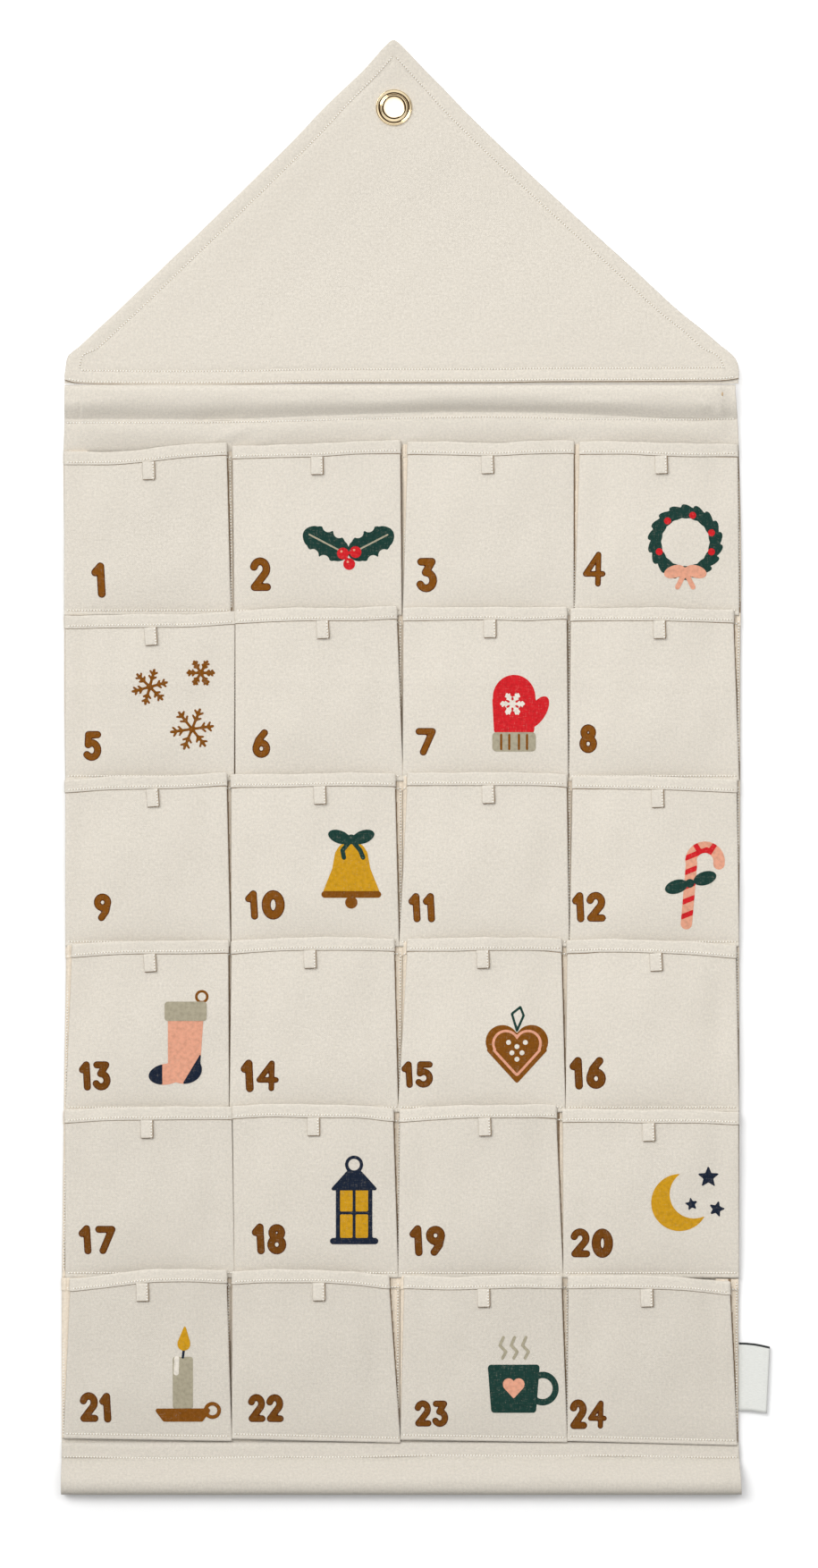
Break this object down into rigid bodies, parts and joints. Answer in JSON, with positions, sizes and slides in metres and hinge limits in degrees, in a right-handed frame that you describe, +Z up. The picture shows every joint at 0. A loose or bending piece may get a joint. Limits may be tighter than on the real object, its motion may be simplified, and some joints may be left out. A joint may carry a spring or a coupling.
{
  "type": "advent calendar",
  "caption": "House-shaped canvas wall hanging with numbered pleated pockets and pull tabs, hung from a brass eyelet and kept flat by wooden rods.",
  "frame": {"origin": "on the wall, behind the centre of the hanging eyelet", "axes": "+Z up, the front faces -Y, the wall is the plane y = 0 and +X is to the viewer's right"},
  "size_m": [0.5018, 0.0147, 1.0351],
  "materials": {
    "canvas": "undyed cotton canvas",
    "tape": "woven cotton tape",
    "brass": "polished brass",
    "wood": "plain beech dowel",
    "label": "woven satin label, left bare"
  },
  "bodies": {
    "roof": {"roof_front": "canvas", "roof_lining": "canvas", "eyelet": "brass", "eyelet_washer": "brass"},
    "panel": {"back_panel": "canvas", "top_casing": "canvas", "bottom_casing": "canvas"},
    "top_rod": {"top_rod": "wood"},
    "bottom_rod": {"bottom_rod": "wood"},
    "side_label": {"side_label": "label"},
    "pocket_01": {"pocket_01": "canvas"},
    "tab_01": {"pocket_tab_01": "tape"},
    "pocket_02": {"pocket_02": "canvas"},
    "tab_02": {"pocket_tab_02": "tape"},
    "pocket_03": {"pocket_03": "canvas"},
    "tab_03": {"pocket_tab_03": "tape"},
    "pocket_04": {"pocket_04": "canvas"},
    "tab_04": {"pocket_tab_04": "tape"},
    "pocket_05": {"pocket_05": "canvas"},
    "tab_05": {"pocket_tab_05": "tape"},
    "pocket_06": {"pocket_06": "canvas"},
    "tab_06": {"pocket_tab_06": "tape"},
    "pocket_07": {"pocket_07": "canvas"},
    "tab_07": {"pocket_tab_07": "tape"},
    "pocket_08": {"pocket_08": "canvas"},
    "tab_08": {"pocket_tab_08": "tape"},
    "pocket_09": {"pocket_09": "canvas"},
    "tab_09": {"pocket_tab_09": "tape"},
    "pocket_10": {"pocket_10": "canvas"},
    "tab_10": {"pocket_tab_10": "tape"},
    "pocket_11": {"pocket_11": "canvas"},
    "tab_11": {"pocket_tab_11": "tape"},
    "pocket_12": {"pocket_12": "canvas"},
    "tab_12": {"pocket_tab_12": "tape"},
    "pocket_13": {"pocket_13": "canvas"},
    "tab_13": {"pocket_tab_13": "tape"},
    "pocket_14": {"pocket_14": "canvas"},
    "tab_14": {"pocket_tab_14": "tape"},
    "pocket_15": {"pocket_15": "canvas"},
    "tab_15": {"pocket_tab_15": "tape"},
    "pocket_16": {"pocket_16": "canvas"},
    "tab_16": {"pocket_tab_16": "tape"},
    "pocket_17": {"pocket_17": "canvas"},
    "tab_17": {"pocket_tab_17": "tape"},
    "pocket_18": {"pocket_18": "canvas"},
    "tab_18": {"pocket_tab_18": "tape"},
    "pocket_19": {"pocket_19": "canvas"},
    "tab_19": {"pocket_tab_19": "tape"},
    "pocket_20": {"pocket_20": "canvas"},
    "tab_20": {"pocket_tab_20": "tape"},
    "pocket_21": {"pocket_21": "canvas"},
    "tab_21": {"pocket_tab_21": "tape"},
    "pocket_22": {"pocket_22": "canvas"},
    "tab_22": {"pocket_tab_22": "tape"},
    "pocket_23": {"pocket_23": "canvas"},
    "tab_23": {"pocket_tab_23": "tape"},
    "pocket_24": {"pocket_24": "canvas"},
    "tab_24": {"pocket_tab_24": "tape"}
  },
  "joints": [
    {"name": "panel_fold", "type": "hinge", "parent": "roof", "child": "panel", "pos_m": [0.0056, -0.00995, -0.1956], "axis": [-1, 0, 0], "range_deg": [0, 135]},
    {"name": "top_rod_slide", "type": "slide", "parent": "panel", "child": "top_rod", "axis": [-1, 0, 0], "range_m": [0, 0.47]},
    {"name": "bottom_rod_slide", "type": "slide", "parent": "panel", "child": "bottom_rod", "axis": [-1, 0, 0], "range_m": [0, 0.47]},
    {"name": "label_flap", "type": "hinge", "parent": "panel", "child": "side_label", "pos_m": [0.2462, -0.0019, -0.906], "axis": [0, 0, -1], "range_deg": [0, 90]},
    {"name": "pocket_01_open", "type": "hinge", "parent": "panel", "child": "pocket_01", "pos_m": [-0.1744, -0.0013, -0.3619], "axis": [1, 0, 0], "range_deg": [0, 10], "stiffness_Nm_per_rad": 0.02, "springref_deg": -2.86},
    {"name": "tab_01_lift", "type": "hinge", "parent": "pocket_01", "child": "tab_01", "pos_m": [-0.17344, -0.01184, -0.251], "axis": [-1, 0, 0], "range_deg": [0, 165]},
    {"name": "pocket_02_open", "type": "hinge", "parent": "panel", "child": "pocket_02", "pos_m": [-0.0544, -0.0013, -0.3619], "axis": [1, 0, 0], "range_deg": [0, 10], "stiffness_Nm_per_rad": 0.02, "springref_deg": -2.86},
    {"name": "tab_02_lift", "type": "hinge", "parent": "pocket_02", "child": "tab_02", "pos_m": [-0.0538, -0.01184, -0.251], "axis": [-1, 0, 0], "range_deg": [0, 165]},
    {"name": "pocket_03_open", "type": "hinge", "parent": "panel", "child": "pocket_03", "pos_m": [0.0656, -0.0013, -0.3619], "axis": [1, 0, 0], "range_deg": [0, 10], "stiffness_Nm_per_rad": 0.02, "springref_deg": -2.86},
    {"name": "tab_03_lift", "type": "hinge", "parent": "pocket_03", "child": "tab_03", "pos_m": [0.06692, -0.01184, -0.251], "axis": [-1, 0, 0], "range_deg": [0, 165]},
    {"name": "pocket_04_open", "type": "hinge", "parent": "panel", "child": "pocket_04", "pos_m": [0.1856, -0.0013, -0.3619], "axis": [1, 0, 0], "range_deg": [0, 10], "stiffness_Nm_per_rad": 0.02, "springref_deg": -2.86},
    {"name": "tab_04_lift", "type": "hinge", "parent": "pocket_04", "child": "tab_04", "pos_m": [0.18968, -0.01184, -0.251], "axis": [-1, 0, 0], "range_deg": [0, 165]},
    {"name": "pocket_05_open", "type": "hinge", "parent": "panel", "child": "pocket_05", "pos_m": [-0.1744, -0.0013, -0.48], "axis": [1, 0, 0], "range_deg": [0, 10], "stiffness_Nm_per_rad": 0.02, "springref_deg": -2.86},
    {"name": "tab_05_lift", "type": "hinge", "parent": "pocket_05", "child": "tab_05", "pos_m": [-0.17212, -0.01184, -0.3691], "axis": [-1, 0, 0], "range_deg": [0, 165]},
    {"name": "pocket_06_open", "type": "hinge", "parent": "panel", "child": "pocket_06", "pos_m": [-0.0544, -0.0013, -0.48], "axis": [1, 0, 0], "range_deg": [0, 10], "stiffness_Nm_per_rad": 0.02, "springref_deg": -2.86},
    {"name": "tab_06_lift", "type": "hinge", "parent": "pocket_06", "child": "tab_06", "pos_m": [-0.04996, -0.01184, -0.3691], "axis": [-1, 0, 0], "range_deg": [0, 165]},
    {"name": "pocket_07_open", "type": "hinge", "parent": "panel", "child": "pocket_07", "pos_m": [0.0656, -0.0013, -0.48], "axis": [1, 0, 0], "range_deg": [0, 10], "stiffness_Nm_per_rad": 0.02, "springref_deg": -2.86},
    {"name": "tab_07_lift", "type": "hinge", "parent": "pocket_07", "child": "tab_07", "pos_m": [0.06872, -0.01184, -0.3691], "axis": [-1, 0, 0], "range_deg": [0, 165]},
    {"name": "pocket_08_open", "type": "hinge", "parent": "panel", "child": "pocket_08", "pos_m": [0.1856, -0.0013, -0.48], "axis": [1, 0, 0], "range_deg": [0, 10], "stiffness_Nm_per_rad": 0.02, "springref_deg": -2.86},
    {"name": "tab_08_lift", "type": "hinge", "parent": "pocket_08", "child": "tab_08", "pos_m": [0.18848, -0.01184, -0.3691], "axis": [-1, 0, 0], "range_deg": [0, 165]},
    {"name": "pocket_09_open", "type": "hinge", "parent": "panel", "child": "pocket_09", "pos_m": [-0.1744, -0.0013, -0.5981], "axis": [1, 0, 0], "range_deg": [0, 10], "stiffness_Nm_per_rad": 0.02, "springref_deg": -2.86},
    {"name": "tab_09_lift", "type": "hinge", "parent": "pocket_09", "child": "tab_09", "pos_m": [-0.17092, -0.01184, -0.4872], "axis": [-1, 0, 0], "range_deg": [0, 165]},
    {"name": "pocket_10_open", "type": "hinge", "parent": "panel", "child": "pocket_10", "pos_m": [-0.0544, -0.0013, -0.5981], "axis": [1, 0, 0], "range_deg": [0, 10], "stiffness_Nm_per_rad": 0.02, "springref_deg": -2.86},
    {"name": "tab_10_lift", "type": "hinge", "parent": "pocket_10", "child": "tab_10", "pos_m": [-0.05188, -0.01184, -0.4872], "axis": [-1, 0, 0], "range_deg": [0, 165]},
    {"name": "pocket_11_open", "type": "hinge", "parent": "panel", "child": "pocket_11", "pos_m": [0.0656, -0.0013, -0.5981], "axis": [1, 0, 0], "range_deg": [0, 10], "stiffness_Nm_per_rad": 0.02, "springref_deg": -2.86},
    {"name": "tab_11_lift", "type": "hinge", "parent": "pocket_11", "child": "tab_11", "pos_m": [0.06752, -0.01184, -0.4872], "axis": [-1, 0, 0], "range_deg": [0, 165]},
    {"name": "pocket_12_open", "type": "hinge", "parent": "panel", "child": "pocket_12", "pos_m": [0.1856, -0.0013, -0.5981], "axis": [1, 0, 0], "range_deg": [0, 10], "stiffness_Nm_per_rad": 0.02, "springref_deg": -2.86},
    {"name": "tab_12_lift", "type": "hinge", "parent": "pocket_12", "child": "tab_12", "pos_m": [0.18716, -0.01184, -0.4872], "axis": [-1, 0, 0], "range_deg": [0, 165]},
    {"name": "pocket_13_open", "type": "hinge", "parent": "panel", "child": "pocket_13", "pos_m": [-0.1744, -0.0013, -0.7162], "axis": [1, 0, 0], "range_deg": [0, 10], "stiffness_Nm_per_rad": 0.02, "springref_deg": -2.86},
    {"name": "tab_13_lift", "type": "hinge", "parent": "pocket_13", "child": "tab_13", "pos_m": [-0.17284, -0.01184, -0.6053], "axis": [-1, 0, 0], "range_deg": [0, 165]},
    {"name": "pocket_14_open", "type": "hinge", "parent": "panel", "child": "pocket_14", "pos_m": [-0.0544, -0.0013, -0.7162], "axis": [1, 0, 0], "range_deg": [0, 10], "stiffness_Nm_per_rad": 0.02, "springref_deg": -2.86},
    {"name": "tab_14_lift", "type": "hinge", "parent": "pocket_14", "child": "tab_14", "pos_m": [-0.05884, -0.01184, -0.6053], "axis": [-1, 0, 0], "range_deg": [0, 165]},
    {"name": "pocket_15_open", "type": "hinge", "parent": "panel", "child": "pocket_15", "pos_m": [0.0656, -0.0013, -0.7162], "axis": [1, 0, 0], "range_deg": [0, 10], "stiffness_Nm_per_rad": 0.02, "springref_deg": -2.86},
    {"name": "tab_15_lift", "type": "hinge", "parent": "pocket_15", "child": "tab_15", "pos_m": [0.06368, -0.01184, -0.6053], "axis": [-1, 0, 0], "range_deg": [0, 165]},
    {"name": "pocket_16_open", "type": "hinge", "parent": "panel", "child": "pocket_16", "pos_m": [0.1856, -0.0013, -0.7162], "axis": [1, 0, 0], "range_deg": [0, 10], "stiffness_Nm_per_rad": 0.02, "springref_deg": -2.86},
    {"name": "tab_16_lift", "type": "hinge", "parent": "pocket_16", "child": "tab_16", "pos_m": [0.18596, -0.01184, -0.6053], "axis": [-1, 0, 0], "range_deg": [0, 165]},
    {"name": "pocket_17_open", "type": "hinge", "parent": "panel", "child": "pocket_17", "pos_m": [-0.1744, -0.0013, -0.8343], "axis": [1, 0, 0], "range_deg": [0, 10], "stiffness_Nm_per_rad": 0.02, "springref_deg": -2.86},
    {"name": "tab_17_lift", "type": "hinge", "parent": "pocket_17", "child": "tab_17", "pos_m": [-0.17476, -0.01184, -0.7234], "axis": [-1, 0, 0], "range_deg": [0, 165]},
    {"name": "pocket_18_open", "type": "hinge", "parent": "panel", "child": "pocket_18", "pos_m": [-0.0544, -0.0013, -0.8343], "axis": [1, 0, 0], "range_deg": [0, 10], "stiffness_Nm_per_rad": 0.02, "springref_deg": -2.86},
    {"name": "tab_18_lift", "type": "hinge", "parent": "pocket_18", "child": "tab_18", "pos_m": [-0.05632, -0.01184, -0.7234], "axis": [-1, 0, 0], "range_deg": [0, 165]},
    {"name": "pocket_19_open", "type": "hinge", "parent": "panel", "child": "pocket_19", "pos_m": [0.0656, -0.0013, -0.8343], "axis": [1, 0, 0], "range_deg": [0, 10], "stiffness_Nm_per_rad": 0.02, "springref_deg": -2.86},
    {"name": "tab_19_lift", "type": "hinge", "parent": "pocket_19", "child": "tab_19", "pos_m": [0.065, -0.01184, -0.7234], "axis": [-1, 0, 0], "range_deg": [0, 165]},
    {"name": "pocket_20_open", "type": "hinge", "parent": "panel", "child": "pocket_20", "pos_m": [0.1856, -0.0013, -0.8343], "axis": [1, 0, 0], "range_deg": [0, 10], "stiffness_Nm_per_rad": 0.02, "springref_deg": -2.86},
    {"name": "tab_20_lift", "type": "hinge", "parent": "pocket_20", "child": "tab_20", "pos_m": [0.1808, -0.01184, -0.7234], "axis": [-1, 0, 0], "range_deg": [0, 165]},
    {"name": "pocket_21_open", "type": "hinge", "parent": "panel", "child": "pocket_21", "pos_m": [-0.1744, -0.0013, -0.9524], "axis": [1, 0, 0], "range_deg": [0, 10], "stiffness_Nm_per_rad": 0.02, "springref_deg": -2.86},
    {"name": "tab_21_lift", "type": "hinge", "parent": "pocket_21", "child": "tab_21", "pos_m": [-0.17788, -0.01184, -0.8415], "axis": [-1, 0, 0], "range_deg": [0, 165]},
    {"name": "pocket_22_open", "type": "hinge", "parent": "panel", "child": "pocket_22", "pos_m": [-0.0544, -0.0013, -0.9524], "axis": [1, 0, 0], "range_deg": [0, 10], "stiffness_Nm_per_rad": 0.02, "springref_deg": -2.86},
    {"name": "tab_22_lift", "type": "hinge", "parent": "pocket_22", "child": "tab_22", "pos_m": [-0.05248, -0.01184, -0.8415], "axis": [-1, 0, 0], "range_deg": [0, 165]},
    {"name": "pocket_23_open", "type": "hinge", "parent": "panel", "child": "pocket_23", "pos_m": [0.0656, -0.0013, -0.9524], "axis": [1, 0, 0], "range_deg": [0, 10], "stiffness_Nm_per_rad": 0.02, "springref_deg": -2.86},
    {"name": "tab_23_lift", "type": "hinge", "parent": "pocket_23", "child": "tab_23", "pos_m": [0.06428, -0.01184, -0.8415], "axis": [-1, 0, 0], "range_deg": [0, 165]},
    {"name": "pocket_24_open", "type": "hinge", "parent": "panel", "child": "pocket_24", "pos_m": [0.1856, -0.0013, -0.9524], "axis": [1, 0, 0], "range_deg": [0, 10], "stiffness_Nm_per_rad": 0.02, "springref_deg": -2.86},
    {"name": "tab_24_lift", "type": "hinge", "parent": "pocket_24", "child": "tab_24", "pos_m": [0.17948, -0.01184, -0.8415], "axis": [-1, 0, 0], "range_deg": [0, 165]}
  ]
}
